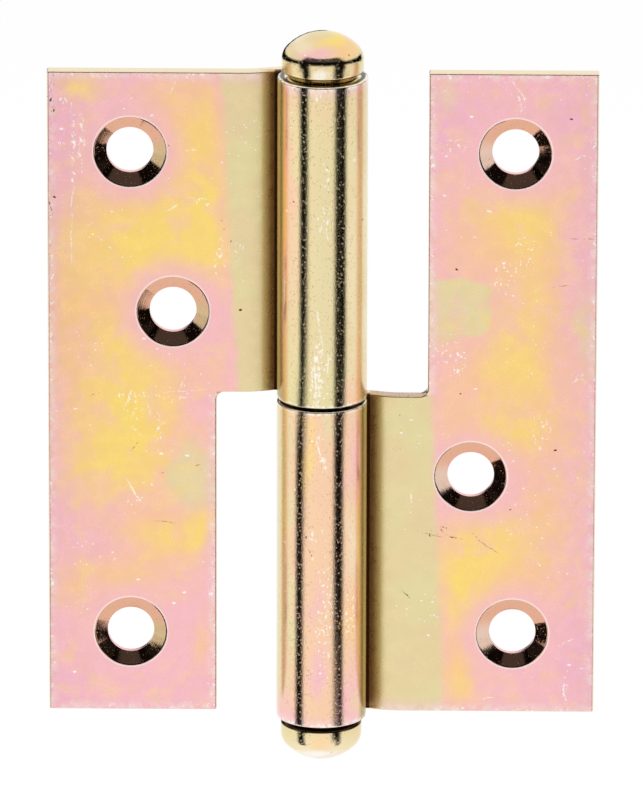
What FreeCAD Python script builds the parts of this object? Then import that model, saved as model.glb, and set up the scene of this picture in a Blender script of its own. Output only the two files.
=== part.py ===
import FreeCAD, Part
import math
import os

# Driving dimensions, in millimetres
leaf_height = 100.0          # a leaf from end to end, along the pin
leaf_reach = 41.0            # pin axis to the outer edge of a leaf
strip_width = 25.2           # full-height strip of a leaf, beside the notch
sheet_thickness = 2.25
leaf_setback = 1.6           # pin axis to the front face of a leaf
crank_distance = 10.5        # pin axis to the line where the sheet turns back to the knuckle
crank_radius = 10.0          # of the sheet's middle line, at that turn
notch_corner_radius = 1.2
knuckle_gap = 0.5            # between the two knuckles
seam_gap = 0.25              # between the end of the roll and the face of the leaf
pin_diameter = 8.9           # where the door leaf turns and slides
running_clearance = 0.05     # radial, pin or plug to bore
grip_length = 42.0           # thicker part of the pin, pressed into the lower knuckle
grip_lead = 1.5              # taper from the thicker part to the running part
tip_length = 2.0             # taper at the top of the pin
tip_narrowing = 1.2          # radius lost over that taper
plug_length = 9.0            # shank of the top plug, inside the upper knuckle
plug_chamfer = 0.6
bearing_gap = 0.05           # pin tip to plug
plug_seat_gap = 0.05         # plug head to the rim of the upper knuckle
head_diameter = 12.2
head_side_height = 3.5       # up to the corner where the dome starts
dome_rise = 3.2
head_foot_chamfer = 1.0      # next to the knuckle
screw_hole_diameter = 7.0
countersink_diameter = 10.8
countersink_depth = 1.2
end_hole_margin = 12.4       # from both ends of a leaf
end_hole_inset = 12.3        # from the outer edge of a leaf
middle_hole_margin = 37.2    # from the knuckle's end of a leaf
middle_hole_inset = 18.7     # from the outer edge of a leaf

# Sizes that follow
half_height = leaf_height / 2
half_gap = knuckle_gap / 2
pin_radius = pin_diameter / 2
bore_radius = pin_radius + running_clearance
knuckle_radius = bore_radius + sheet_thickness
roll_radius = bore_radius + sheet_thickness / 2
front_y = leaf_setback
middle_y = leaf_setback + sheet_thickness / 2
back_y = leaf_setback + sheet_thickness
notch_x = leaf_reach - strip_width
head_radius = head_diameter / 2
head_height = head_side_height + dome_rise
dome_radius = (head_radius ** 2 + dome_rise ** 2) / (2 * dome_rise)

# The sheet turns back by this angle and runs straight on to touch the roll
crank_angle = math.asin(roll_radius / math.hypot(crank_distance, middle_y))
crank_angle -= math.atan2(middle_y, crank_distance)
crank_start_x = crank_distance + crank_radius * math.tan(crank_angle / 2)
crank_centre_y = middle_y + crank_radius
roll_start = math.pi / 2 - crank_angle
roll_end = 2 * math.pi + roll_start - math.acos((bore_radius - seam_gap) / knuckle_radius)


def at_angle(radius, angle):
    return FreeCAD.Vector(radius * math.cos(angle), radius * math.sin(angle), 0)


def around(centre, radius, first, last):
    middle = (first + last) / 2
    ends = [centre + at_angle(radius, angle) for angle in (first, middle, last)]
    return Part.Arc(ends[0], ends[1], ends[2]).toShape()


def leaf_section():
    axis = FreeCAD.Vector(0, 0, 0)
    crank_centre = FreeCAD.Vector(crank_start_x, crank_centre_y, 0)
    crank_first = -math.pi / 2
    crank_last = crank_first - crank_angle
    inside = crank_radius + sheet_thickness / 2
    outside = crank_radius - sheet_thickness / 2
    crank_front = around(crank_centre, inside, crank_first, crank_last)
    crank_back = around(crank_centre, outside, crank_last, crank_first)
    bore = around(axis, bore_radius, roll_start, roll_end)
    rim = around(axis, knuckle_radius, roll_end, roll_start)
    outer_front = FreeCAD.Vector(leaf_reach, front_y, 0)
    outer_back = FreeCAD.Vector(leaf_reach, back_y, 0)
    corners = [
        (outer_front, crank_centre + at_angle(inside, crank_first)),
        (crank_centre + at_angle(inside, crank_last), at_angle(bore_radius, roll_start)),
        (at_angle(bore_radius, roll_end), at_angle(knuckle_radius, roll_end)),
        (at_angle(knuckle_radius, roll_start), crank_centre + at_angle(outside, crank_last)),
        (crank_centre + at_angle(outside, crank_first), outer_back),
        (outer_back, outer_front),
    ]
    lines = [Part.makeLine(first, last) for first, last in corners]
    chain = [lines[0], crank_front, lines[1], bore, lines[2], rim, lines[3], crank_back, lines[4], lines[5]]
    return Part.Face(Part.Wire(chain))


def notch_cutter():
    wide = 2 * leaf_reach
    deep = 4 * knuckle_radius
    block = Part.makeBox(wide, deep, leaf_height)
    block.translate(FreeCAD.Vector(notch_x - wide, -deep / 2, -half_gap))
    corner = []
    for edge in block.Edges:
        centre = edge.CenterOfMass
        if abs(centre.x - notch_x) < 1e-6 and abs(centre.z + half_gap) < 1e-6:
            corner.append(edge)
    return block.makeFillet(notch_corner_radius, corner)


def screw_hole(x, z):
    into = FreeCAD.Vector(0, 1, 0)
    over = sheet_thickness
    hole_radius = screw_hole_diameter / 2
    sink_radius = countersink_diameter / 2
    start = FreeCAD.Vector(x, front_y - over, z)
    hole = Part.makeCylinder(hole_radius, sheet_thickness + 2 * over, start, into)
    mouth = Part.makeCylinder(sink_radius, over, start, into)
    face = FreeCAD.Vector(x, front_y, z)
    cone = Part.makeCone(sink_radius, hole_radius, countersink_depth, face, into)
    return hole.fuse([mouth, cone])


def leaf_shape():
    sheet = leaf_section().extrude(FreeCAD.Vector(0, 0, leaf_height))
    sheet.translate(FreeCAD.Vector(0, 0, -half_height))
    leaf = sheet.cut(notch_cutter())
    end_x = leaf_reach - end_hole_inset
    end_z = half_height - end_hole_margin
    middle_x = leaf_reach - middle_hole_inset
    middle_z = middle_hole_margin - half_height
    places = [(end_x, end_z), (middle_x, middle_z), (end_x, -end_z)]
    leaf = leaf.cut([screw_hole(x, z) for x, z in places])
    return leaf.removeSplitter().Solids[0]


def head_outline(seat, way):
    dome_z = head_height - dome_radius
    corner_angle = math.asin((head_side_height - dome_z) / dome_radius)
    dome_angle = (corner_angle + math.pi / 2) / 2
    steps = [
        (head_radius - head_foot_chamfer, 0),
        (head_radius, head_foot_chamfer),
        (head_radius, head_side_height),
        (dome_radius * math.cos(dome_angle), dome_z + dome_radius * math.sin(dome_angle)),
        (0, head_height),
    ]
    points = [FreeCAD.Vector(r, 0, seat + way * z) for r, z in steps]
    foot = Part.makeLine(points[0], points[1])
    side = Part.makeLine(points[1], points[2])
    dome = Part.Arc(points[2], points[3], points[4]).toShape()
    return points[0], points[4], [foot, side, dome]


def turned(shank, seat, way):
    foot, apex, head = head_outline(seat, way)
    points = [foot] + [FreeCAD.Vector(r, 0, z) for r, z in shank] + [apex]
    lines = [Part.makeLine(points[i], points[i + 1]) for i in range(len(points) - 1)]
    face = Part.Face(Part.Wire(Part.sortEdges(head + lines)[0]))
    return face.revolve(FreeCAD.Vector(0, 0, 0), FreeCAD.Vector(0, 0, 1), 360)


def pin_shape():
    seat = -half_height
    grip_top = seat + grip_length
    tip = half_height - plug_length - bearing_gap
    shank = [
        (bore_radius, seat),
        (bore_radius, grip_top - grip_lead),
        (pin_radius, grip_top),
        (pin_radius, tip - tip_length),
        (pin_radius - tip_narrowing, tip),
        (0, tip),
    ]
    return turned(shank, seat, -1)


def plug_shape():
    seat = half_height + plug_seat_gap
    end = half_height - plug_length
    shank = [
        (pin_radius, seat),
        (pin_radius, end + plug_chamfer),
        (pin_radius - plug_chamfer, end),
        (0, end),
    ]
    return turned(shank, seat, 1)


# The two leaves are one pressing, turned half round about the line square to its face
frame_leaf = leaf_shape()
door_leaf = frame_leaf.copy()
door_leaf.rotate(FreeCAD.Vector(0, 0, 0), FreeCAD.Vector(0, 1, 0), 180)
pieces = {
    "frame_leaf": frame_leaf,
    "door_leaf": door_leaf,
    "hinge_pin": pin_shape(),
    "top_plug": plug_shape(),
}

os.makedirs("parts", exist_ok=True)
for name, shape in pieces.items():
    shape.exportStep("parts/" + name + ".step")
    print(name, shape.ShapeType, shape.isValid(), round(shape.Volume, 1), len(shape.Solids))
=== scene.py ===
import bpy
import bmesh
import math
from mathutils import Matrix, Vector
from types import SimpleNamespace


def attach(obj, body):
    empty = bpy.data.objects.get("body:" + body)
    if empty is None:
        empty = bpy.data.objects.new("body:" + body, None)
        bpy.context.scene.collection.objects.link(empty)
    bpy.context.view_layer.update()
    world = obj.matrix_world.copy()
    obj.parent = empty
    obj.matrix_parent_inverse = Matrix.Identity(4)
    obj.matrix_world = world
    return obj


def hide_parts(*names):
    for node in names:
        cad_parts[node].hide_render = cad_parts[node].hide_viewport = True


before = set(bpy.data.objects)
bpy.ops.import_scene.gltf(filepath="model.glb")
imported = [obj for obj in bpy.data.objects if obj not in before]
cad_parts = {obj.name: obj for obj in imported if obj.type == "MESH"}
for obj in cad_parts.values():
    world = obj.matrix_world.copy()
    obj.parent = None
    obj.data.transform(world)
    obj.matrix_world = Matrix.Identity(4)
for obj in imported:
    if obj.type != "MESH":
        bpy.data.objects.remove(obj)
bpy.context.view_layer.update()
scene = bpy.context.scene
scene.view_settings.view_transform = 'Standard'
print("frame loaded:", sorted(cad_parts))

mm = 0.001
mergeDistance = 1e-4  # millimetres
touching = 0.01  # millimetres
sharpAngle = math.radians(35)


def only(kind, items):
    return [item for item in items if isinstance(item, kind)]


def finishPiece(bm, name, turn=None):
    bmesh.ops.remove_doubles(bm, verts=bm.verts, dist=mergeDistance)
    bmesh.ops.recalc_face_normals(bm, faces=bm.faces)
    if turn is not None:
        bmesh.ops.transform(bm, matrix=turn, verts=bm.verts)
    bmesh.ops.scale(bm, vec=(mm, mm, mm), verts=bm.verts)
    mesh = bpy.data.meshes.new(name)
    bm.to_mesh(mesh)
    bm.free()
    mesh.shade_smooth()
    piece = bpy.data.objects.new(name, mesh)
    scene.collection.objects.link(piece)
    return piece


def roundOff(bm, geometry, offset, steps, kind):
    bmesh.ops.bevel(bm, geom=geometry, offset=offset, segments=steps, profile=0.5, affect=kind, material=-1)


def weighFaces(piece):
    weigh = piece.modifiers.new("flatFaces", 'WEIGHTED_NORMAL')
    weigh.mode = 'FACE_AREA'
    weigh.weight = 100
    weigh.keep_sharp = True


# the two leaves: one pressing, lengths in millimetres, pin axis on z
leafBlank = {
    "height": 100.0,
    "reach": 41.0,
    "notchX": 15.8,
    "front": 1.6,
    "sheet": 2.25,
    "crankDistance": 10.5,
    "crankRadius": 10.0,
    "crankSteps": 8,
    "bore": 4.5,
    "seamGap": 0.25,
    "rollSteps": 72,
    "knuckleGap": 0.5,
    "notchCorner": 1.2,
    "cornerSteps": 8,
    "wornEdge": 0.28,
    "wornAngle": 40.0,  # edges sharper than this are worn
    "wornSteps": 3,
    "holes": [(28.7, 37.6), (22.3, -12.8), (28.7, -37.6)],
    "holeRadius": 3.5,
    "sinkRadius": 5.4,
    "sinkDepth": 1.2,
    "sinkLip": 0.22,
    "lipStart": 0.004,  # in front of the leaf
    "punchOver": 2.0,
    "holeSteps": 80,
}


def drawEdge(bm, edge, along):
    ends = only(bmesh.types.BMVert, bmesh.ops.extrude_edge_only(bm, edges=[edge])["geom"])
    bmesh.ops.translate(bm, vec=along, verts=ends)
    return [link for link in ends[0].link_edges if link.other_vert(ends[0]) in ends][0]


def bendEdge(bm, edge, centre, angle, steps):
    bent = bmesh.ops.spin(bm, geom=[edge, *edge.verts], cent=centre, axis=(0, 0, 1), angle=angle,
                          steps=steps, use_merge=False, use_duplicate=False)["geom_last"]
    return only(bmesh.types.BMEdge, bent)[0]


def raiseFaces(bm, faces, rise):
    made = bmesh.ops.extrude_face_region(bm, geom=faces)["geom"]
    bmesh.ops.translate(bm, vec=(0, 0, rise), verts=only(bmesh.types.BMVert, made))
    return only(bmesh.types.BMFace, made)


def rolledLeaf(blank):
    low = -blank["height"] / 2
    top = -blank["knuckleGap"] / 2
    front = blank["front"]
    back = front + blank["sheet"]
    middle = (front + back) / 2
    roll = blank["bore"] + blank["sheet"] / 2
    far = blank["crankDistance"]
    crank = math.asin(roll / math.hypot(far, middle)) - math.atan2(middle, far)
    crankX = far + blank["crankRadius"] * math.tan(crank / 2)
    crankCentre = Vector((crankX, middle + blank["crankRadius"], 0))
    crankEnd = crankCentre + blank["crankRadius"] * Vector((-math.sin(crank), -math.cos(crank), 0))
    rollStart = roll * Vector((math.sin(crank), math.cos(crank), 0))
    seam = math.acos((blank["bore"] - blank["seamGap"]) / (blank["bore"] + blank["sheet"]))

    def inNotchCorner(vert):
        return abs(vert.co.x - blank["notchX"]) < touching and abs(vert.co.z - top) < touching

    bm = bmesh.new()
    edge = bm.edges.new([bm.verts.new((blank["reach"], y, low)) for y in (front, back)])
    edge = drawEdge(bm, edge, (blank["notchX"] - blank["reach"], 0, 0))
    edge = drawEdge(bm, edge, (crankX - blank["notchX"], 0, 0))
    edge = bendEdge(bm, edge, crankCentre, -crank, blank["crankSteps"])
    edge = drawEdge(bm, edge, rollStart - crankEnd)
    bendEdge(bm, edge, (0, 0, 0), 2 * math.pi - seam, blank["rollSteps"])
    raised = raiseFaces(bm, bm.faces[:], top - low)
    strip = [face for face in raised if face.calc_center_median().x > blank["notchX"]]
    raiseFaces(bm, strip, -low - top)
    bmesh.ops.delete(bm, geom=[face for face in strip if face.is_valid], context='FACES_ONLY')
    bmesh.ops.recalc_face_normals(bm, faces=bm.faces)
    corner = [e for e in bm.edges if all(inNotchCorner(vert) for vert in e.verts)]
    roundOff(bm, corner, blank["notchCorner"], blank["cornerSteps"], 'EDGES')
    sharp = [e for e in bm.edges if e.calc_face_angle(0) > math.radians(blank["wornAngle"])]
    roundOff(bm, sharp, blank["wornEdge"], blank["wornSteps"], 'EDGES')
    return bm


def countersunkPunch(bm, blank, x, z):
    front = blank["front"]
    before = front - blank["punchOver"]
    behind = front + blank["sheet"] + blank["punchOver"]
    hole = blank["holeRadius"]
    rim = blank["sinkRadius"]
    lip = blank["sinkLip"]
    slope = blank["sinkDepth"] / (rim - hole)
    rounding = [(0.35, 0.06), (-0.15, 0.30), (-0.75, 0.75 * slope + 0.04)]  # outwards and inwards, in lips
    steps = [(0.0, before), (rim + lip, before), (rim + lip, front - blank["lipStart"])]
    steps += [(rim + outwards * lip, front + inwards * lip) for outwards, inwards in rounding]
    steps += [(hole, front + blank["sinkDepth"]), (hole, behind), (0.0, behind)]
    points = [bm.verts.new((x + radius, depth, z)) for radius, depth in steps]
    rail = [bm.edges.new(pair) for pair in zip(points, points[1:])]
    bmesh.ops.spin(bm, geom=points + rail, cent=(x, 0, z), axis=(0, 1, 0), angle=2 * math.pi,
                   steps=blank["holeSteps"], use_merge=True, use_duplicate=False)


def punchHoles(leaf, blank, turn):
    bm = bmesh.new()
    for x, z in blank["holes"]:
        countersunkPunch(bm, blank, x, z)
    punch = finishPiece(bm, leaf.name + "Punch", turn)
    cut = leaf.modifiers.new("screwHoles", 'BOOLEAN')
    cut.operation = 'DIFFERENCE'
    cut.solver = 'EXACT'
    cut.object = punch
    punched = bpy.data.meshes.new_from_object(leaf.evaluated_get(bpy.context.evaluated_depsgraph_get()))
    leaf.modifiers.clear()
    blankMesh = leaf.data
    leaf.data = punched
    leaf.data.name = leaf.name
    bpy.data.meshes.remove(blankMesh)
    bpy.data.objects.remove(punch)


leaves = []
for pieceName, node, body, turn in [
    ("frameLeaf", "frame_leaf", "frame_side", Matrix.Identity(4)),
    ("doorLeaf", "door_leaf", "door_side", Matrix.Rotation(math.pi, 4, 'Y')),
]:
    leaf = finishPiece(rolledLeaf(leafBlank), pieceName, turn)
    punchHoles(leaf, leafBlank, turn)
    leaf.data.set_sharp_from_angle(angle=sharpAngle)
    weighFaces(leaf)
    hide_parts(node)
    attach(leaf, body)
    leaves.append(leaf)
    print(pieceName, "has", len(leaf.data.polygons), "faces")


# the turned pieces: pin below, plug on top, lengths in millimetres
turnedPieces = {
    "headRadius": 6.1,
    "sideHeight": 3.5,
    "domeRise": 3.2,
    "domeSteps": 7,
    "headCorner": 0.8,
    "cornerSteps": 6,
    "footChamfer": 1.0,
    "footRound": 0.15,
    "footSteps": 3,
    "steps": 128,
    "pin": [(4.5, -50.0), (4.5, -9.5), (4.45, -8.0), (4.45, 38.95), (3.25, 40.95), (0.0, 40.95)],
    "plug": [(4.45, 50.05), (4.45, 41.6), (3.85, 41.0), (0.0, 41.0)],
}


def turnedPiece(name, shank, way, sizes):
    seat = shank[0][1]
    headRadius = sizes["headRadius"]
    chamfer = sizes["footChamfer"]
    rise = sizes["domeRise"]
    dome = (headRadius ** 2 + rise ** 2) / (2 * rise)
    apex = sizes["sideHeight"] + rise
    bm = bmesh.new()
    tip = bm.verts.new((0, 0, seat + way * apex))
    arc = bmesh.ops.spin(bm, geom=[tip], cent=(0, 0, seat + way * (apex - dome)), axis=(0, way, 0),
                         angle=math.asin(headRadius / dome), steps=sizes["domeSteps"], use_merge=False,
                         use_duplicate=False)["geom_last"]
    corner = only(bmesh.types.BMVert, arc)[0]
    foot = [(headRadius, seat + way * chamfer), (headRadius - chamfer, seat)]
    chain = [corner] + [bm.verts.new((r, 0, z)) for r, z in foot + shank]
    for pair in zip(chain, chain[1:]):
        bm.edges.new(pair)
    roundOff(bm, [corner], sizes["headCorner"], sizes["cornerSteps"], 'VERTICES')
    footCorners = [vert for vert in chain[1:3] if vert.is_valid]
    roundOff(bm, footCorners, sizes["footRound"], sizes["footSteps"], 'VERTICES')
    bmesh.ops.spin(bm, geom=bm.verts[:] + bm.edges[:], cent=(0, 0, 0), axis=(0, 0, 1), angle=2 * math.pi,
                   steps=sizes["steps"], use_merge=True, use_duplicate=False)
    piece = finishPiece(bm, name)
    piece.data.set_sharp_from_angle(angle=sharpAngle)
    return piece


hingePin = turnedPiece("hingePin", turnedPieces["pin"], -1, turnedPieces)
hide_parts("hinge_pin")
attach(hingePin, "frame_side")
topPlug = turnedPiece("topPlug", turnedPieces["plug"], 1, turnedPieces)
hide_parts("top_plug")
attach(topPlug, "lifted_plug")
print("pin and plug turned")


# zinc with a yellow passivated skin: colours are linear; shade, copper, olive, gold, blush and part of the
# dark and bright entries are painted shade and painted highlights
zincPaint = {
    "pink": (0.935, 0.520, 0.550),
    "lilac": (0.900, 0.480, 0.600),
    "peach": (0.965, 0.600, 0.285),
    "rose": (0.915, 0.590, 0.400),
    "straw": (0.790, 0.680, 0.395),
    "pale": (0.905, 0.740, 0.660),
    "yellow": (0.970, 0.716, 0.190),
    "green": (0.790, 0.690, 0.370),
    "beige": (0.800, 0.645, 0.365),
    # gold and blush: the painted lit side of the countersinks
    "gold": (0.600, 0.430, 0.240),
    "blush": (0.770, 0.550, 0.440),
    "cream": (0.900, 0.760, 0.520),
    "tan": (0.740, 0.400, 0.270),
    "cutSteel": (0.620, 0.420, 0.300),
    # shade, copper and olive: painted shade and dark reflection in the crevice beside each knuckle
    "shade": (0.660, 0.480, 0.170),
    "copperShade": (0.700, 0.290, 0.090),
    "oliveShade": (0.400, 0.300, 0.070),
    # bright: real nicks, scratches and wear, and painted highlights on the countersink lips and the heads
    "brightWearAndHighlight": (0.970, 0.950, 0.920),
    # dark: real grit, specks and dark scratches, and painted shade in the crevices, in the gap between the
    # knuckles, on the knuckle ends and where the heads sit
    "dirtAndPaintedShade": (0.045, 0.028, 0.018),
}


def addNode(tree, kind, inputs=None, **settings):
    made = tree.nodes.new(kind)
    for key, value in settings.items():
        setattr(made, key, value)
    for key, value in (inputs or {}).items():
        if isinstance(value, bpy.types.NodeSocket):
            tree.links.new(value, made.inputs[key])
        else:
            made.inputs[key].default_value = value
    return made


def mathOf(tree, operation, first, second=0.0):
    return addNode(tree, 'ShaderNodeMath', {0: first, 1: second}, operation=operation).outputs[0]


def vectorOf(tree, operation, inputs):
    return addNode(tree, 'ShaderNodeVectorMath', inputs, operation=operation).outputs


def times(tree, first, *others):
    for other in others:
        first = mathOf(tree, 'MULTIPLY', first, other)
    return first


def together(tree, masks):
    joined = masks[0]
    for mask in masks[1:]:
        joined = mathOf(tree, 'MAXIMUM', joined, mask)
    return joined


def below(tree, value, limit):
    return mathOf(tree, 'LESS_THAN', value, limit)


def above(tree, value, limit):
    return mathOf(tree, 'GREATER_THAN', value, limit)


def rampOf(tree, value, start, end, low=0.0, high=1.0):
    limits = {"Value": value, "From Min": start, "From Max": end, "To Min": low, "To Max": high}
    return addNode(tree, 'ShaderNodeMapRange', limits, interpolation_type='SMOOTHSTEP').outputs["Result"]


def paintOver(tree, under, paint, mask):
    mix = addNode(tree, 'ShaderNodeMix', {0: mask}, data_type='RGBA')
    for place, colour in ((6, under), (7, paint)):
        if isinstance(colour, bpy.types.NodeSocket):
            tree.links.new(colour, mix.inputs[place])
        else:
            mix.inputs[place].default_value = (*zincPaint[colour], 1)
    return mix.outputs[2]


throughAll = 1000.0  # millimetres: a spot goes right through the piece


def spot(tree, place, x, z, wide, tall, lean=0.0):
    box = {"Vector": place, "Location": (x, 0, z), "Rotation": (0, -lean, 0)}
    box["Scale"] = (wide, throughAll, tall)
    inBox = addNode(tree, 'ShaderNodeMapping', box, vector_type='TEXTURE').outputs[0]
    return addNode(tree, 'ShaderNodeTexGradient', {"Vector": inBox}, gradient_type='SPHERICAL').outputs["Fac"]


def blotch(tree, place, x, z, wide, tall, soft=0.5, strength=1.0, lean=0.0):
    return rampOf(tree, spot(tree, place, x, z, wide, tall, lean), 0.0, soft, 0.0, strength)


strokeReach = 0.6  # share of its length to each side of its middle
strokeSoft = 0.6


def stroke(tree, place, x0, z0, x1, z1, width, strength=1.0):
    reach = strokeReach * math.hypot(x1 - x0, z1 - z0)
    lean = math.atan2(z1 - z0, x1 - x0)
    return blotch(tree, place, (x0 + x1) / 2, (z0 + z1) / 2, reach, width, strokeSoft, strength, lean)


def grain(tree, place, scale, detail=2.0, rough=0.5, output="Fac"):
    noise = {"Vector": place, "Scale": scale, "Detail": detail, "Roughness": rough}
    return addNode(tree, 'ShaderNodeTexNoise', noise).outputs[output]


def cloud(tree, place, scale, start, end, strength=1.0, detail=2.0, rough=0.5):
    return rampOf(tree, grain(tree, place, scale, detail, rough), start, end, 0.0, strength)


fleckCore = 0.4  # share of a fleck that is full


def flecks(tree, place, stretch, turn, size, share):
    turned = {"Vector": place, "Rotation": (0, turn, 0), "Scale": stretch}
    laid = addNode(tree, 'ShaderNodeMapping', turned).outputs[0]
    cells = addNode(tree, 'ShaderNodeTexVoronoi', {"Vector": laid, "Scale": 1.0}, feature='F1').outputs
    dot = rampOf(tree, cells["Distance"], size, size * fleckCore)
    lot = addNode(tree, 'ShaderNodeSeparateColor', {"Color": cells["Color"]}).outputs["Red"]
    return times(tree, dot, below(tree, lot, share))


def inMillimetres(tree):
    place = addNode(tree, 'ShaderNodeTexCoord').outputs["Object"]
    return addNode(tree, 'ShaderNodeMapping', {"Vector": place, "Scale": (1 / mm, 1 / mm, 1 / mm)}).outputs[0]


def wandering(tree, place, scale, amount):
    drift = grain(tree, place, scale, 3.0, output="Color")
    centred = vectorOf(tree, 'SUBTRACT', {0: drift, 1: (0.5, 0.5, 0.5)})[0]
    scaled = vectorOf(tree, 'SCALE', {0: centred, "Scale": amount})[0]
    return vectorOf(tree, 'ADD', {0: place, 1: scaled})[0]


def clouded(tree, place, shape):
    return paintOver(tree, "beige", "green", cloud(tree, place, *shape))


def paintPatches(tree, colour, place, patches):
    for x, z, wide, tall, paint, soft, strength in patches:
        colour = paintOver(tree, colour, paint, blotch(tree, place, x, z, wide, tall, soft, strength))
    return colour


# the surface under the colours: lengths in millimetres, noise scales per millimetre
zincSurface = {
    "satinGrain": (0.5, 4.0),  # noise scale, detail, roughness
    "satinRange": (0.3, 0.7, 0.06, 0.11),  # noise from and to, surface roughness from and to
    "pebbleGrain": (5.0, 3.0, 0.7),
    "pebbleDepth": 0.02,
    "reliefStrength": 0.7,
    "reliefDepth": 0.03,
    "pits": ((4.0, 4.0, 3.2), 0.3, 0.40, 0.30),  # stretch, turn, size, share
    "pitDepth": -0.6,
}


def zincMaterial(name):
    material = bpy.data.materials.new(name + "Zinc")
    material.use_nodes = True
    shader = material.node_tree.nodes["Principled BSDF"]
    shader.inputs["Metallic"].default_value = 1.0
    return material, material.node_tree, shader


def finishSurface(tree, shader, place, colour, relief, pebbles, duller):
    surface = zincSurface
    satin = rampOf(tree, grain(tree, place, *surface["satinGrain"]), *surface["satinRange"])
    satin = mathOf(tree, 'ADD', satin, duller)
    bumps = grain(tree, place, *surface["pebbleGrain"])
    pebble = {"Height": bumps, "Strength": pebbles, "Distance": surface["pebbleDepth"] * mm}
    marks = {"Height": relief, "Strength": surface["reliefStrength"], "Distance": surface["reliefDepth"] * mm}
    marks["Normal"] = addNode(tree, 'ShaderNodeBump', pebble).outputs["Normal"]
    normal = addNode(tree, 'ShaderNodeBump', marks).outputs["Normal"]
    for socket, value in (("Base Color", colour), ("Roughness", satin), ("Normal", normal)):
        tree.links.new(value, shader.inputs[socket])


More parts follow.
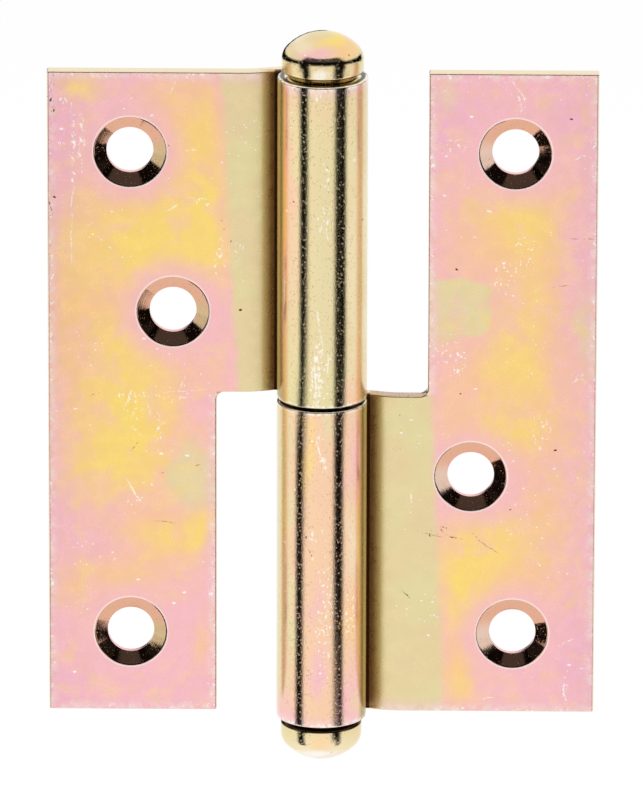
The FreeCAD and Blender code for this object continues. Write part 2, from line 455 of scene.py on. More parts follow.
# how each leaf's skin is coloured, lengths in millimetres
leafSkins = {
    "doorLeaf": {
        "side": 1.0,  # notch below
        # the colour of the painted lit side of the countersinks
        "sinkGlint": "gold",
        "strip": (12.5, -0.05),  # its edge from the pin's axis, and its lean
        "patches": [  # x, z, half width, half height, paint, softness, strength
            (-26.0, 26.0, 31.2, 19.5, "peach", 1.0, 0.9),
            (-19.0, 41.0, 12.6, 18.2, "peach", 1.0, 1.0),
            (-35.0, 10.0, 13.3, 21.0, "peach", 1.0, 1.0),
            (-28.0, -5.0, 23.8, 25.2, "peach", 1.0, 0.9),
            (-38.5, 36.0, 4.8, 21.6, "lilac", 1.0, 0.6),
            (-39.0, -14.0, 3.6, 16.8, "lilac", 1.0, 0.5),
            (-25.0, 23.6, 22.8, 11.1, "yellow", 1.0, 0.95),
            (-17.5, 30.0, 7.8, 15.6, "yellow", 1.0, 0.9),
            (-18.5, 41.5, 5.0, 6.6, "yellow", 1.0, 0.4),
            (-36.2, 48.6, 4.6, 3.8, "yellow", 1.0, 0.7),
            (-30.6, 5.0, 7.2, 10.2, "yellow", 1.0, 0.9),
            (-28.5, -4.0, 10.4, 15.6, "yellow", 1.0, 1.0),
            (-32.5, -11.0, 11.7, 8.5, "yellow", 1.0, 0.9),
            (-31.0, -29.0, 16.8, 7.8, "peach", 1.0, 0.8),
            (-34.5, -36.0, 4.8, 6.0, "peach", 1.0, 0.5),
            (-22.5, -22.6, 11.7, 7.2, "peach", 1.0, 1.0),
            (-18.4, -21.6, 4.1, 4.8, "yellow", 1.0, 0.9),
            (-24.0, -22.2, 5.5, 2.9, "yellow", 1.0, 0.5),
            (-17.8, -39.0, 3.6, 7.2, "peach", 1.0, 0.7),
            (-17.8, -3.4, 4.8, 6.4, "pink", 1.0, 0.8),
            (-37.5, -46.5, 6.0, 6.0, "lilac", 1.0, 0.8),
            (-28.0, -47.5, 9.0, 4.5, "pink", 1.0, 0.7),
            (-18.0, -46.0, 4.0, 5.0, "lilac", 1.0, 0.5),
            (-18.9, -13.2, 5.0, 7.4, "green", 0.45, 0.8),
        ],
        "knuckle": [  # as the patches
            (-4.7, 34.0, 2.4, 34.0, "rose", 1.0, 0.9),
            (-4.6, 4.0, 3.0, 16.0, "green", 1.0, 0.8),
            (0.0, 20.0, 3.6, 36.0, "straw", 1.0, 0.9),
            (0.0, 46.0, 3.6, 7.0, "rose", 1.0, 0.2),
            (5.0, 20.0, 2.4, 40.0, "cream", 1.0, 0.6),
            (5.2, 1.0, 3.2, 9.0, "rose", 1.0, 0.9),
        ],
        "scratches": [  # both ends, width, strength
            (-0.85, 16.9, 0.05, 9.6, 0.16, 1.0),
            (-0.6, 10.0, -0.1, 3.6, 0.20, 1.0),
            (-1.0, 8.4, -0.8, 0.8, 0.22, 0.9),
            (-0.3, 6.0, -0.5, 0.4, 0.20, 0.9),
            (1.0, 8.6, 1.3, 5.0, 0.14, 0.9),
            (-37.2, 32.0, -37.3, 27.0, 0.16, 0.9),
            (-37.3, 27.2, -37.4, 20.0, 0.14, 0.9),
            (-21.8, 49.0, -22.6, 46.6, 0.14, 0.8),
            (-23.4, 28.4, -20.4, 29.8, 0.16, 0.8),
            (-20.0, 30.4, -16.8, 30.2, 0.18, 0.8),
            (-20.8, 37.8, -18.8, 37.8, 0.16, 0.9),
            (-29.3, -13.6, -26.4, -18.2, 0.17, 1.0),
            (-28.1, 1.1, -29.6, -2.5, 0.14, 0.8),
            (-26.2, -1.2, -25.7, -3.6, 0.12, 0.8),
            (-23.9, -4.4, -24.7, -6.4, 0.14, 0.8),
            (-28.8, -4.4, -27.2, -7.0, 0.16, 0.8),
            (-15.9, 1.0, -24.0, 0.2, 0.10, 0.6),
            (-20.2, 3.2, -21.6, 0.0, 0.16, 0.6),
        ],
        "grazes": [  # x, z, half width, half height, strength
            (-37.2, 38.0, 0.55, 9.0, 0.12),
            (-35.9, 39.6, 0.60, 6.5, 0.12),
            (-38.6, 45.4, 1.2, 1.4, 0.08),
            (-39.4, 38.6, 1.6, 1.0, 0.07),
            (-28.4, -3.0, 2.2, 3.0, 0.05),
            (-24.4, -5.4, 1.2, 3.0, 0.06),
            (-26.6, -0.4, 8.0, 0.7, 0.06),
            (-15.4, 20.6, 1.4, 5.0, 0.06),
            (-12.5, 22.0, 1.0, 3.0, 0.06),
            (-18.4, 29.6, 2.4, 1.0, 0.07),
            (-0.75, 5.0, 1.5, 9.0, 0.11),
            (1.1, 7.0, 0.7, 3.0, 0.09),
            (0.6, 36.0, 0.8, 4.0, 0.08),
            (0.4, 29.0, 1.8, 3.5, 0.07),
            (-0.7, 48.6, 0.6, 0.8, 0.10),
        ],
        "darkGrazes": [
            (-40.2, 46.6, 1.4, 4.0, 0.12),
            (-40.4, 29.0, 0.6, 2.0, 0.08),
            (-14.0, 26.0, 1.4, 6.0, 0.07),
        ],
        "darkScratches": [
            (-27.5, -7.6, -28.4, -9.4, 0.12, 0.8),
            (-34.9, -0.4, -33.2, 0.2, 0.10, 0.7),
            (-19.8, -11.6, -18.2, -11.0, 0.12, 0.8),
            (-24.6, -12.6, -23.4, -12.4, 0.12, 0.7),
            (-25.5, -20.0, -21.6, -20.6, 0.07, 0.6),
        ],
    },
    "frameLeaf": {
        "side": -1.0,  # notch above
        # the colour of the painted lit side of the countersinks
        "sinkGlint": "blush",
        "strip": (16.3, 0.040),
        "patches": [
            (29.0, 24.0, 16.9, 19.5, "peach", 1.0, 0.9),
            (27.5, 7.0, 18.2, 25.2, "peach", 1.0, 0.95),
            (27.0, -6.0, 18.2, 12.6, "peach", 1.0, 0.9),
            (24.0, -27.0, 19.6, 18.2, "peach", 1.0, 0.95),
            (39.0, 22.0, 4.8, 24.0, "lilac", 1.0, 0.6),
            (29.5, 28.0, 10.2, 7.8, "yellow", 1.0, 0.7),
            (31.5, 24.0, 6.6, 5.5, "yellow", 1.0, 0.5),
            (28.6, 5.5, 7.2, 10.2, "yellow", 1.0, 0.8),
            (31.0, 14.0, 6.6, 9.0, "yellow", 1.0, 0.6),
            (28.5, -5.0, 8.8, 6.1, "yellow", 1.0, 0.6),
            (20.6, -28.5, 10.4, 13.7, "yellow", 1.0, 1.0),
            (27.0, -22.6, 9.6, 7.2, "yellow", 1.0, 0.8),
            (33.5, -18.0, 5.4, 7.2, "peach", 1.0, 0.7),
            (19.4, -43.5, 7.2, 11.1, "peach", 1.0, 1.0),
            (19.8, -46.0, 3.5, 5.0, "yellow", 1.0, 0.4),
            (17.8, 46.6, 3.1, 4.4, "green", 1.0, 0.5),
            (17.6, 40.0, 4.0, 9.0, "lilac", 1.0, 0.6),
            (38.5, -40.0, 5.0, 14.0, "lilac", 1.0, 0.7),
            (39.6, 10.0, 2.2, 8.4, "green", 1.0, 0.7),
            (19.2, 13.4, 15.8, 12.9, "pink", 1.0, 0.8),
            (19.2, 13.4, 7.9, 5.9, "green", 0.22, 0.9),
        ],
        "knuckle": [
            (0.0, -26.0, 9.0, 60.0, "rose", 0.6, 0.85),
            (-6.0, -22.0, 2.6, 40.0, "straw", 0.7, 0.9),
            (-2.2, -8.0, 1.6, 10.0, "yellow", 1.0, 0.5),
            (0.9, -3.0, 1.8, 4.0, "straw", 1.0, 0.9),
            (4.8, -8.0, 2.8, 9.0, "pink", 1.0, 0.7),
            (4.9, -22.0, 2.8, 9.0, "cream", 1.0, 0.8),
            (4.8, -33.0, 2.4, 7.0, "peach", 1.0, 0.7),
            (4.9, -47.0, 2.8, 11.0, "pink", 1.0, 0.8),
            (-1.0, -31.0, 2.0, 5.0, "lilac", 1.0, 0.4),
            (-0.6, -41.0, 2.6, 7.0, "lilac", 1.0, 0.7),
            (-5.0, -49.0, 3.2, 7.0, "pink", 1.0, 0.8),
        ],
        "scratches": [
            (-0.7, -4.2, 0.6, -10.0, 0.14, 1.0),
            (4.2, -19.2, 4.6, -20.6, 0.16, 1.0),
            (28.2, 49.0, 29.2, 47.6, 0.14, 0.8),
            (29.1, 47.8, 29.9, 46.0, 0.14, 0.8),
            (37.2, 36.6, 38.6, 37.4, 0.14, 0.8),
            (38.5, 37.4, 40.0, 37.2, 0.14, 0.8),
            (36.9, 1.6, 38.6, 2.6, 0.14, 0.9),
            (38.5, 2.6, 40.3, 1.3, 0.14, 0.9),
            (19.3, 2.8, 21.6, 4.6, 0.20, 0.9),
            (13.3, -15.3, 13.4, -17.3, 0.16, 0.9),
            (36.2, -45.4, 37.0, -48.4, 0.22, 1.0),
            (35.2, -39.4, 37.9, -38.2, 0.14, 0.8),
            (23.4, -48.0, 26.4, -47.8, 0.12, 0.7),
            (18.0, 39.8, 22.0, 39.4, 0.16, 0.7),
        ],
        "grazes": [
            (19.6, 5.4, 3.0, 4.0, 0.05),
            (27.0, 18.0, 3.0, 4.0, 0.05),
            (30.0, 22.0, 2.0, 5.0, 0.05),
            (33.0, -6.0, 2.0, 5.0, 0.05),
            (36.4, -47.0, 0.8, 2.6, 0.10),
            (19.0, 38.6, 3.0, 1.4, 0.06),
            (29.4, 45.6, 0.8, 2.4, 0.07),
            (38.6, 3.0, 2.0, 1.2, 0.06),
            (0.0, -7.0, 0.8, 5.0, 0.09),
            (0.6, -33.0, 2.0, 14.0, 0.07),
            (4.6, -32.0, 1.4, 5.0, 0.08),
            (-1.4, -20.6, 0.8, 4.0, 0.07),
        ],
        "darkGrazes": [
            (17.0, -21.6, 4.0, 1.0, 0.07),
            (-2.0, -21.0, 0.7, 4.0, 0.08),
            (11.0, -6.0, 1.6, 8.0, 0.05),
        ],
        "darkScratches": [
            (14.6, -21.6, 18.4, -22.3, 0.09, 0.7),
            (17.8, -20.7, 19.8, -21.3, 0.13, 0.8),
            (18.7, -22.0, 21.2, -22.6, 0.14, 0.9),
            (22.4, -21.2, 27.0, -25.4, 0.08, 0.7),
            (12.2, -31.2, 13.6, -32.0, 0.16, 0.9),
            (36.6, 24.6, 40.8, 24.4, 0.09, 0.8),
            (34.2, 17.0, 37.0, 17.0, 0.09, 0.7),
        ],
    },
}


# what both leaves share, wear and painted shade and highlights among it: lengths in millimetres; clouds give
# scale, start, end, strength, detail, roughness
leafWearAndPaintedLight = {
    "drift": (0.13, 7.0),  # scale and reach
    "closeDrift": (0.25, 1.6),
    "lilacCloud": (0.06, 0.5, 0.8),
    "mottle": [
        ("yellow", (0.35, 0.48, 0.66, 0.25, 3.0)),
        ("pink", (0.24, 0.48, 0.66, 0.30, 3.0)),
        ("peach", (0.50, 0.48, 0.66, 0.18, 3.0)),
    ],
    "halo": (10.0, 10.0, 0.5, 0.8),  # half width, half height, softness, strength
    "stripFade": (0.9, -0.7),  # from the strip's edge
    "stripBlush": (3.0, 0.3),  # reach and strength
    "stripCloud": (0.12, 0.40, 0.65),
    "knuckleFade": (8.6, 7.2),  # from the pin's axis
    "knuckleCloud": (0.09, 0.42, 0.62),
    "polishFade": (7.4, 6.8),
    "rimLilac": (2.6, 0.6, 0.0, 0.35),  # distances where it starts and is full, weakest, strongest
    "rimPale": (1.8, 0.4, 0.0, 0.6),
    "rimWear": (0.8, 0.36, 0.62, 1.0, 4.0, 0.6),
    "rimCream": (0.20, 0.06),
    "nickEdge": (2.2, 0.3, 0.0, 0.16),
    "nickGrain": (1.5, 5.0, 0.7),  # noise scale, detail, roughness
    "nickRange": (0.74, 0.80),
    "nickStart": (0.05, 0.3),
    "cutHeight": 0.32,
    "cutStart": 7.2,
    "grit": (2.6, 0.55, 0.66, 0.8, 4.0, 0.7),
    "crowd": (0.11, 0.50, 0.62, 1.0, 3.0),
    "nicks": [((0.9, 0.9, 1.6), 0.6, 0.20, 0.30), ((1.6, 1.6, 0.9), -0.4, 0.16, 0.30)],  # as the pits
    "looseNicks": ((0.30, 0.30, 0.55), 0.6, 0.12, 0.20),
    "specks": ((0.22, 0.22, 0.30), 1.1, 0.060, 0.30),
    "breaks": [(1.6, 0.40, 0.50, 1.0, 3.0), (6.0, 0.36, 0.50)],
    "grazes": [
        ("brightWearAndHighlight", "grazes", (2.4, 3.0, 0.6), (0.64, 0.70, 0.0, 0.9)),
        ("dirtAndPaintedShade", "darkGrazes", (2.0, 3.0, 0.6), (0.70, 0.76, 0.0, 0.9)),
    ],
    "grazeStretch": (1.0, 1.0, 0.6),
    "grazeSoft": 0.6,
    "grazeStart": (0.0, 0.04),
    # crevice: painted shade and reflection beside each knuckle, darker towards the knuckle
    "crevice": [("shade", 9.8, 8.3, 0.6), ("copperShade", 8.8, 7.6, 0.45), ("dirtAndPaintedShade", 7.3, 7.05, 0.85)],
    "rollFront": 0.3,
    "creviceBack": 3.4,
    # rollEdge: painted shade on the knuckle's edge beside its own leaf
    "rollEdge": (5.5, 6.25, 0.0, 0.9),
    "rollRadius": 6.9,
    "endWear": (0.8, 0.3),
    "gapWear": (1.0, 0.5),
    "endCloud": (1.8, 0.44, 0.58, 0.85, 4.0, 0.7),
    "endDepth": 0.1,
    # seatRing: painted shade where the heads and the other knuckle sit on each knuckle
    "seatRing": (5.6, 5.8, 6.25, 6.42),
    "sinkSlack": 0.1,
    # lipReach and lipFade: the painted highlight on each countersink's lip
    "lipReach": 0.32,  # past the countersink's rim
    "lipFade": (0.03, 0.6),
    "coneReach": 0.08,
    "coneEdge": 0.02,
    # glint: the painted lit side of each countersink
    "glint": (4.6, -0.8, 4.6, 3.6, 0.8),  # x and z from the hole, half width, half height, softness
    "turning": (30.0, 0.16),  # rings and depth
    "pitDull": 0.34,
    "flatDull": 0.20,
    "pebbles": (0.7, 0.1),  # on the flats, in the countersinks
}


def leafPlaces(tree, skin, blank):
    place = inMillimetres(tree)
    near = wandering(tree, place, *leafWearAndPaintedLight["closeDrift"])
    axes = addNode(tree, 'ShaderNodeSeparateXYZ', {0: place}).outputs
    nearX = addNode(tree, 'ShaderNodeSeparateXYZ', {0: near}).outputs["X"]
    across = mathOf(tree, 'ABSOLUTE', axes["X"])
    upright = mathOf(tree, 'ABSOLUTE', axes["Z"])
    inNeck = above(tree, times(tree, axes["Z"], skin["side"]), 0.0)
    fromSide = mathOf(tree, 'SUBTRACT', blank["reach"], across)
    fromEnd = mathOf(tree, 'SUBTRACT', blank["height"] / 2, upright)
    fromNotch = mathOf(tree, 'SUBTRACT', across, blank["notchX"])
    fromNotch = mathOf(tree, 'ADD', fromNotch, times(tree, inNeck, blank["height"]))
    return SimpleNamespace(
        place=place,
        near=near,
        flow=wandering(tree, place, *leafWearAndPaintedLight["drift"]),
        x=axes["X"],
        y=axes["Y"],
        z=axes["Z"],
        across=across,
        nearAcross=mathOf(tree, 'ABSOLUTE', nearX),
        upright=upright,
        inNeck=inNeck,
        onKnuckle=times(tree, rampOf(tree, across, *leafWearAndPaintedLight["knuckleFade"]), inNeck),
        fromEnd=fromEnd,
        rim=mathOf(tree, 'MINIMUM', mathOf(tree, 'MINIMUM', fromSide, fromEnd), fromNotch),
    )


def fieldPaint(tree, at, skin, holes):
    colour = paintOver(tree, "pink", "lilac", cloud(tree, at.place, *leafWearAndPaintedLight["lilacCloud"]))
    colour = paintPatches(tree, colour, at.flow, skin["patches"])
    for paint, shape in leafWearAndPaintedLight["mottle"]:
        colour = paintOver(tree, colour, paint, cloud(tree, at.flow, *shape))
    for x, z in holes:
        colour = paintOver(tree, colour, "pink", blotch(tree, at.near, x, z, *leafWearAndPaintedLight["halo"]))
    return colour


def neckPaint(tree, colour, at, skin):
    edge, lean = skin["strip"]
    first, last = leafWearAndPaintedLight["stripFade"]
    leaning = mathOf(tree, 'ADD', at.nearAcross, times(tree, at.z, lean))
    blushReach, blushStrength = leafWearAndPaintedLight["stripBlush"]
    blush = rampOf(tree, leaning, edge + blushReach, edge, 0.0, blushStrength)
    colour = paintOver(tree, colour, "pink", times(tree, at.inNeck, blush))
    strip = times(tree, rampOf(tree, leaning, edge + first, edge + last), at.inNeck)
    colour = paintOver(tree, colour, clouded(tree, at.place, leafWearAndPaintedLight["stripCloud"]), strip)
    knuckle = clouded(tree, at.place, leafWearAndPaintedLight["knuckleCloud"])
    knuckle = paintPatches(tree, knuckle, at.flow, skin["knuckle"])
    return paintOver(tree, colour, knuckle, at.onKnuckle)


def rimPaint(tree, colour, at):
    wear = cloud(tree, at.place, *leafWearAndPaintedLight["rimWear"])
    colour = paintOver(tree, colour, "lilac", rampOf(tree, at.rim, *leafWearAndPaintedLight["rimLilac"]))
    colour = paintOver(tree, colour, "pale", times(tree, rampOf(tree, at.rim, *leafWearAndPaintedLight["rimPale"]), wear))
    colour = paintOver(tree, colour, "cream", rampOf(tree, at.rim, *leafWearAndPaintedLight["rimCream"]))
    nearEdge = rampOf(tree, at.rim, *leafWearAndPaintedLight["nickEdge"])
    nicks = mathOf(tree, 'ADD', grain(tree, at.place, *leafWearAndPaintedLight["nickGrain"]), nearEdge)
    nicks = rampOf(tree, nicks, *leafWearAndPaintedLight["nickRange"])
    nicks = times(tree, nicks, rampOf(tree, at.rim, *leafWearAndPaintedLight["nickStart"]))
    return paintOver(tree, colour, "brightWearAndHighlight", nicks)


def cutPaint(tree, colour, at, notchX):
    cut = times(tree, below(tree, at.upright, leafWearAndPaintedLight["cutHeight"]), at.inNeck)
    cut = times(tree, cut, above(tree, at.across, leafWearAndPaintedLight["cutStart"]), below(tree, at.across, notchX))
    grit = cloud(tree, at.place, *leafWearAndPaintedLight["grit"])
    colour = paintOver(tree, colour, "cutSteel", cut)
    return paintOver(tree, colour, "dirtAndPaintedShade", times(tree, cut, grit))


def marksPaint(tree, colour, at, skin):
    crowd = cloud(tree, at.place, *leafWearAndPaintedLight["crowd"])
    for nick in leafWearAndPaintedLight["nicks"]:
        colour = paintOver(tree, colour, "brightWearAndHighlight", times(tree, flecks(tree, at.near, *nick), crowd))
    colour = paintOver(tree, colour, "brightWearAndHighlight", flecks(tree, at.near, *leafWearAndPaintedLight["looseNicks"]))
    colour = paintOver(tree, colour, "dirtAndPaintedShade", flecks(tree, at.near, *leafWearAndPaintedLight["specks"]))
    breaks = times(tree, *[cloud(tree, at.place, *shape) for shape in leafWearAndPaintedLight["breaks"]])
    for paint, lines in (("brightWearAndHighlight", "scratches"), ("dirtAndPaintedShade", "darkScratches")):
        drawn = together(tree, [stroke(tree, at.near, *line) for line in skin[lines]])
        colour = paintOver(tree, colour, paint, times(tree, drawn, breaks))
    stretched = {"Vector": at.near, "Scale": leafWearAndPaintedLight["grazeStretch"]}
    laid = addNode(tree, 'ShaderNodeMapping', stretched).outputs[0]
    soft = leafWearAndPaintedLight["grazeSoft"]
    for paint, bands, noise, limits in leafWearAndPaintedLight["grazes"]:
        band = together(tree, [blotch(tree, at.near, *box, soft, amount) for *box, amount in skin[bands]])
        marks = mathOf(tree, 'ADD', grain(tree, laid, *noise), band)
        marks = times(tree, rampOf(tree, marks, *limits), rampOf(tree, band, *leafWearAndPaintedLight["grazeStart"]))
        colour = paintOver(tree, colour, paint, marks)
    return colour


# painted shade: the crevice's front is painted shade, copper and dark, darkest next to the knuckle, standing
# in for its shade and dark reflection
def crevicePaint(tree, colour, at, side):
    facing = times(tree, below(tree, at.y, leafWearAndPaintedLight["creviceBack"]), above(tree, at.y, leafWearAndPaintedLight["rollFront"]))
    for paint, first, last, strength in leafWearAndPaintedLight["crevice"]:
        mask = times(tree, facing, at.inNeck, rampOf(tree, at.across, first, last, 0.0, strength))
        colour = paintOver(tree, colour, paint, mask)
    # painted shade: the knuckle's edge beside its own leaf is painted olive-dark, standing in for the dark
    # crevice it mirrors
    leafSide = times(tree, below(tree, times(tree, at.x, side), 0.0), at.inNeck)
    onRoll = times(tree, leafSide, below(tree, at.y, leafWearAndPaintedLight["rollFront"]))
    oliveShade = times(tree, onRoll, rampOf(tree, at.across, *leafWearAndPaintedLight["rollEdge"]))
    return paintOver(tree, colour, "oliveShade", oliveShade)


def knuckleEnds(tree, colour, at):
    flat = vectorOf(tree, 'MULTIPLY', {0: at.place, 1: (1, 1, 0)})[0]
    radius = vectorOf(tree, 'LENGTH', {0: flat})["Value"]
    nearEnd = rampOf(tree, at.fromEnd, *leafWearAndPaintedLight["endWear"])
    nearGap = rampOf(tree, at.upright, *leafWearAndPaintedLight["gapWear"])
    nearEnds = together(tree, [nearEnd, nearGap])
    worn = cloud(tree, at.place, *leafWearAndPaintedLight["endCloud"])
    onRoll = times(tree, at.inNeck, below(tree, radius, leafWearAndPaintedLight["rollRadius"]))
    colour = paintOver(tree, colour, "brightWearAndHighlight", times(tree, nearEnds, worn, onRoll))
    # painted shade: a dark ring on the knuckles' end faces and on the faces at the gap between the knuckles
    ends = below(tree, at.fromEnd, leafWearAndPaintedLight["endDepth"])
    ends = together(tree, [ends, below(tree, at.upright, leafWearAndPaintedLight["cutHeight"])])
    first, second, third, fourth = leafWearAndPaintedLight["seatRing"]
    ring = times(tree, rampOf(tree, radius, first, second), rampOf(tree, radius, fourth, third))
    return paintOver(tree, colour, "dirtAndPaintedShade", times(tree, ends, ring))


def sinkPaint(tree, colour, at, skin, blank, holes):
    onFront = below(tree, at.y, blank["front"] + blank["sinkDepth"] + leafWearAndPaintedLight["sinkSlack"])
    lipReach = blank["sinkRadius"] + leafWearAndPaintedLight["lipReach"]
    coneReach = blank["sinkRadius"] + leafWearAndPaintedLight["coneReach"]
    glintX, glintZ, *glintShape = leafWearAndPaintedLight["glint"]
    mouths = []
    for x, z in holes:
        # painted highlight: a bright ring on each countersink's lip
        lip = blotch(tree, at.place, x, z, lipReach, lipReach, *leafWearAndPaintedLight["lipFade"])
        colour = paintOver(tree, colour, "brightWearAndHighlight", times(tree, onFront, lip))
        mouth = times(tree, onFront, spot(tree, at.place, x, z, coneReach, coneReach))
        cone = rampOf(tree, mouth, 0.0, leafWearAndPaintedLight["coneEdge"])
        # painted light: one side of each cone is painted in the lit colour, gold or blush
        glint = blotch(tree, at.place, x + skin["side"] * glintX, z + glintZ, *glintShape)
        tint = paintOver(tree, "tan", skin["sinkGlint"], times(tree, cone, glint))
        colour = paintOver(tree, colour, tint, cone)
        mouths.append(mouth)
    return colour, together(tree, mouths)


def leafZinc(name, skin, blank):
    material, tree, shader = zincMaterial(name)
    at = leafPlaces(tree, skin, blank)
    holes = [(-skin["side"] * x, -skin["side"] * z) for x, z in blank["holes"]]
    colour = fieldPaint(tree, at, skin, holes)
    colour = neckPaint(tree, colour, at, skin)
    colour = rimPaint(tree, colour, at)
    colour = cutPaint(tree, colour, at, blank["notchX"])
    colour = marksPaint(tree, colour, at, skin)
    colour = crevicePaint(tree, colour, at, skin["side"])
    colour = knuckleEnds(tree, colour, at)
    colour, mouth = sinkPaint(tree, colour, at, skin, blank, holes)
    sinks = rampOf(tree, mouth, 0.0, leafWearAndPaintedLight["coneEdge"])
    rings, ringDepth = leafWearAndPaintedLight["turning"]
    turned = {"W": times(tree, mouth, rings), "Scale": 1.0, "Detail": 2.0}
    turning = addNode(tree, 'ShaderNodeTexNoise', turned, noise_dimensions='1D').outputs["Fac"]
    polished = times(tree, rampOf(tree, at.across, *leafWearAndPaintedLight["polishFade"]), at.inNeck)
    glossy = together(tree, [polished, sinks])
    pits = times(tree, flecks(tree, at.place, *zincSurface["pits"]), glossy)
    relief = mathOf(tree, 'ADD', times(tree, turning, sinks, ringDepth),
                    times(tree, pits, at.onKnuckle, zincSurface["pitDepth"]))
    duller = mathOf(tree, 'ADD', rampOf(tree, glossy, 0.0, 1.0, leafWearAndPaintedLight["flatDull"], 0.0),
                    times(tree, pits, leafWearAndPaintedLight["pitDull"]))
    pebbles = rampOf(tree, sinks, 0.0, 1.0, *leafWearAndPaintedLight["pebbles"])
    finishSurface(tree, shader, at.place, colour, relief, pebbles, duller)
    return material


# heads: pale gold with pink and yellow clouds, and painted highlights
headSkins = {
    "hingePin": {
        "seat": (51.1, 50.9),
        "patches": [
            (0.0, -54.0, 9.0, 4.0, "cream", 0.8, 0.8),
            (0.0, -52.5, 3.0, 1.6, "peach", 0.8, 0.5),
            # painted highlight
            (-0.4, -54.6, 5.0, 1.4, "brightWearAndHighlight", 1.0, 0.9),
            (2.0, -55.8, 5.0, 1.2, "pale", 0.8, 0.6),
        ],
    },
    "topPlug": {
        "seat": (50.15, 50.05),
        "patches": [
            (-1.0, 54.6, 4.6, 1.6, "pink", 0.8, 0.8),
            (3.6, 55.0, 3.6, 2.2, "peach", 0.8, 0.8),
            (1.6, 56.0, 4.0, 1.0, "yellow", 0.8, 0.8),
            (-3.0, 55.6, 2.6, 1.2, "cream", 0.8, 0.7),
            # painted highlight
            (0.0, 51.8, 1.8, 1.1, "brightWearAndHighlight", 0.8, 0.6),
        ],
    },
}


# what both heads share, wear and painted shade among it: lengths in millimetres, noise scales per millimetre
headWearAndPaintedShade = {
    "drift": (0.2, 2.5),
    "cloud": (0.16, 0.40, 0.65),
    "nicks": ((0.6, 0.6, 0.6), 0.6, 0.14, 0.30),
    "specks": ((0.5, 0.5, 0.5), 1.1, 0.09, 0.15),
    # knuckleGap and underHead: painted shade on the pin in the gap between the knuckles and where the heads
    # sit
    "knuckleGap": (1.2, 0.6),
    "underHead": (48.0, 49.9),
    "pitDull": 0.20,
    "pebbles": 0.7,
}


def headZinc(name, skin):
    material, tree, shader = zincMaterial(name)
    place = inMillimetres(tree)
    colour = clouded(tree, place, headWearAndPaintedShade["cloud"])
    colour = paintPatches(tree, colour, wandering(tree, place, *headWearAndPaintedShade["drift"]), skin["patches"])
    colour = paintOver(tree, colour, "brightWearAndHighlight", flecks(tree, place, *headWearAndPaintedShade["nicks"]))
    colour = paintOver(tree, colour, "dirtAndPaintedShade", flecks(tree, place, *headWearAndPaintedShade["specks"]))
    height = addNode(tree, 'ShaderNodeSeparateXYZ', {0: place}).outputs["Z"]
    upright = mathOf(tree, 'ABSOLUTE', height)
    # painted shade: the pin darkens where it shows in the gap between the knuckles
    colour = paintOver(tree, colour, "dirtAndPaintedShade", rampOf(tree, upright, *headWearAndPaintedShade["knuckleGap"]))
    # painted shade: dark where each head sits on its knuckle
    underHead = rampOf(tree, upright, *headWearAndPaintedShade["underHead"])
    underHead = times(tree, underHead, rampOf(tree, upright, *skin["seat"]))
    colour = paintOver(tree, colour, "dirtAndPaintedShade", underHead)
    pits = flecks(tree, place, *zincSurface["pits"])
    relief = times(tree, pits, zincSurface["pitDepth"])
    duller = times(tree, pits, headWearAndPaintedShade["pitDull"])
    finishSurface(tree, shader, place, colour, relief, headWearAndPaintedShade["pebbles"], duller)
    return material


for piece in leaves:
    piece.data.materials.clear()
    piece.data.materials.append(leafZinc(piece.name, leafSkins[piece.name], leafBlank))
for piece in (hingePin, topPlug):
    piece.data.materials.append(headZinc(piece.name, headSkins[piece.name]))
print("zinc skins painted")


# the studio: pale floor, white surround, and the dark cards that the round parts mirror, in metres
studio = {
    "floorZ": -0.16,
    "floorReach": 30.0,
    "floorColour": (0.82, 0.82, 0.82, 1),
    "floorGlow": 0.46,
    "cardColour": (0.004, 0.004, 0.004, 1),
    "cardSteps": 48,
    "cards": [
        # name, azimuths from the camera's side in degrees, lower and upper edge, radius, tilt, grey
        ("leftLowCard", -67, -46, -0.12, -0.025, 0.085, 0, 0.004),
        ("leftMiddleCard", -57, -43, -0.025, 0.03, 0.085, 0, 0.004),
        ("leftHighCard", -66, -46, 0.03, 0.10, 0.085, 0, 0.004),
        ("leftFarCard", -47, -36, -0.0925, -0.03, 0.30, 0, 0.003),
        ("leftFarHighCard", -57, -36, -0.03, 0.14, 0.30, 0, 0.015),
        ("rightLowCard", 44, 55.5, -0.12, -0.025, 0.085, 0, 0.004),
        ("rightMiddleCard", 45, 61, -0.025, 0.03, 0.085, 0, 0.004),
        ("rightHighCard", 45, 65, 0.03, 0.10, 0.085, 0, 0.004),
        ("rightFarLowCard", 31, 46, -0.1595, -0.0925, 0.30, 0, 0.003),
        ("rightFarCard", 32, 46, -0.0925, -0.03, 0.30, 0, 0.003),
        ("rightFarHighCard", 32, 57, -0.03, 0.14, 0.30, 0, 0.015),
        ("frontCard", -66, 66, 0.12, 0.80, 0.50, 0, 0.075),
        ("ringCard", -180, 140, 0.05, 0.20, 0.50, 14, 0.0),
    ],
    "roomLevels": (0.6, 1.0),  # where it only lights, where it is seen or mirrored
    "lampPower": 1.2,
    "lamps": [("overheadSoftbox", (0.1, -0.3, 0.9), 0.8), ("sideSoftbox", (-0.9, -0.5, 0.5), 0.6)],
}


def stagePiece(bm, name):
    mesh = bpy.data.meshes.new(name)
    bm.to_mesh(mesh)
    bm.free()
    made = bpy.data.objects.new(name, mesh)
    scene.collection.objects.link(made)
    material = bpy.data.materials.new(name)
    material.use_nodes = True
    mesh.materials.append(material)
    return made, material.node_tree


def seenDirectly(tree):
    rays = addNode(tree, 'ShaderNodeLightPath').outputs
    return together(tree, [rays["Is Camera Ray"], rays["Is Glossy Ray"], rays["Is Transmission Ray"]])


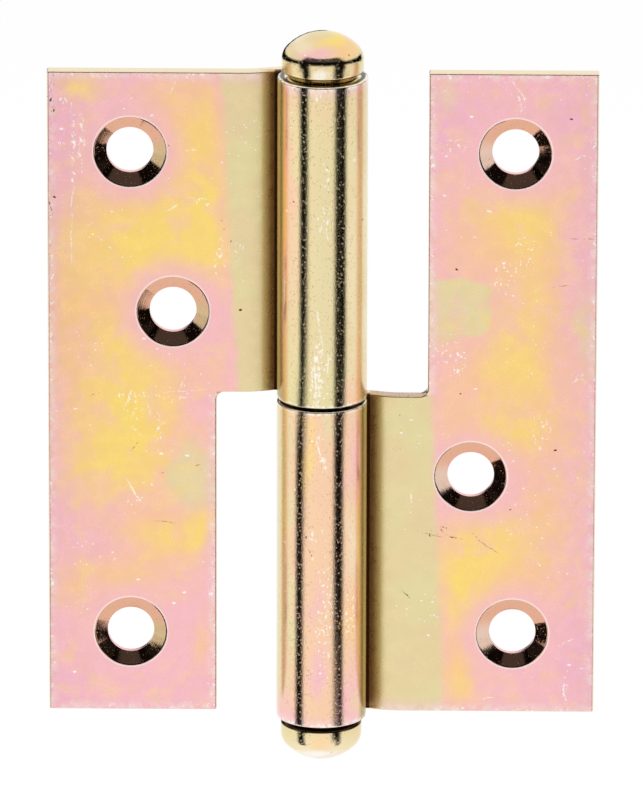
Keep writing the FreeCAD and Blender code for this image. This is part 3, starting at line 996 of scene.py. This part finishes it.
def paleFloor(sizes):
    bm = bmesh.new()
    bmesh.ops.create_grid(bm, x_segments=1, y_segments=1, size=sizes["floorReach"])
    bmesh.ops.translate(bm, vec=(0, 0, sizes["floorZ"]), verts=bm.verts)
    floor, tree = stagePiece(bm, "paleFloor")
    tree.nodes.clear()
    matt = addNode(tree, 'ShaderNodeBsdfDiffuse', {"Color": sizes["floorColour"]}).outputs[0]
    strength = times(tree, seenDirectly(tree), sizes["floorGlow"])
    glow = addNode(tree, 'ShaderNodeEmission', {"Strength": strength}).outputs[0]
    both = addNode(tree, 'ShaderNodeAddShader', {0: matt, 1: glow}).outputs[0]
    addNode(tree, 'ShaderNodeOutputMaterial', {"Surface": both})


def darkCard(sizes, name, first, last, lower, upper, radius, tilt, grey):
    start = math.radians(first)
    bm = bmesh.new()
    ends = [bm.verts.new((radius * math.sin(start), -radius * math.cos(start), z)) for z in (lower, upper)]
    side = bm.edges.new(ends)
    bmesh.ops.spin(bm, geom=[*ends, side], cent=(0, 0, 0), axis=(0, 0, 1), angle=math.radians(last - first),
                   steps=sizes["cardSteps"], use_merge=False, use_duplicate=False)
    lean = Matrix.Rotation(-math.radians(tilt), 3, 'X')
    bmesh.ops.rotate(bm, cent=(0, 0, 0), matrix=lean, verts=bm.verts)
    card, tree = stagePiece(bm, name)
    paint = tree.nodes["Principled BSDF"].inputs
    paint["Base Color"].default_value = sizes["cardColour"]
    paint["Specular IOR Level"].default_value = 0.0
    paint["Emission Color"].default_value = (1, 1, 1, 1)
    paint["Emission Strength"].default_value = grey
    card.visible_camera = False
    card.visible_diffuse = False
    card.visible_shadow = False


paleFloor(studio)
for card in studio["cards"]:
    darkCard(studio, *card)

world = bpy.data.worlds.new("whiteRoom")
scene.world = world
world.use_nodes = True
worldTree = world.node_tree
skyLight = worldTree.nodes["Background"]
skyLight.inputs["Color"].default_value = (1, 1, 1, 1)
dim, full = studio["roomLevels"]
levels = {"Value": seenDirectly(worldTree), "To Min": dim, "To Max": full}
level = addNode(worldTree, 'ShaderNodeMapRange', levels)
worldTree.links.new(level.outputs["Result"], skyLight.inputs["Strength"])

for lampName, place, size in studio["lamps"]:
    lamp = bpy.data.lights.new(lampName, 'AREA')
    lamp.energy = studio["lampPower"]
    lamp.size = size
    lampObject = bpy.data.objects.new(lampName, lamp)
    lampObject.location = place
    lampObject.rotation_euler = (-Vector(place)).to_track_quat('-Z', 'Y').to_euler()
    lampObject.visible_glossy = False
    scene.collection.objects.link(lampObject)

# the photograph's viewpoint: distance and clip in metres, angles in degrees, the rest in millimetres
viewpoint = {
    "distance": 1.8,
    "azimuth": 0.7,
    "elevation": 17.5,
    "roll": 0.15,
    "lens": 542.0,
    "sensor": 36.0,
    "clip": (0.1, 100.0),
    "aim": (-0.07, 0.0, -0.39),
}
cameraData = bpy.data.cameras.new("photoCamera")
cameraData.sensor_width = viewpoint["sensor"]
cameraData.lens = viewpoint["lens"]
cameraData.clip_start, cameraData.clip_end = viewpoint["clip"]
camera = bpy.data.objects.new("photoCamera", cameraData)
scene.collection.objects.link(camera)
azimuth = math.radians(viewpoint["azimuth"])
elevation = math.radians(viewpoint["elevation"])
backward = Vector((
    math.sin(azimuth) * math.cos(elevation),
    -math.cos(azimuth) * math.cos(elevation),
    math.sin(elevation),
))
roll = Matrix.Rotation(math.radians(viewpoint["roll"]), 3, 'Z')
facing = (-backward).to_track_quat('-Z', 'Y').to_matrix() @ roll
stand = Vector(viewpoint["aim"]) * mm + backward * viewpoint["distance"]
camera.matrix_world = Matrix.Translation(stand) @ facing.to_4x4()
scene.camera = camera
print("studio and camera set")
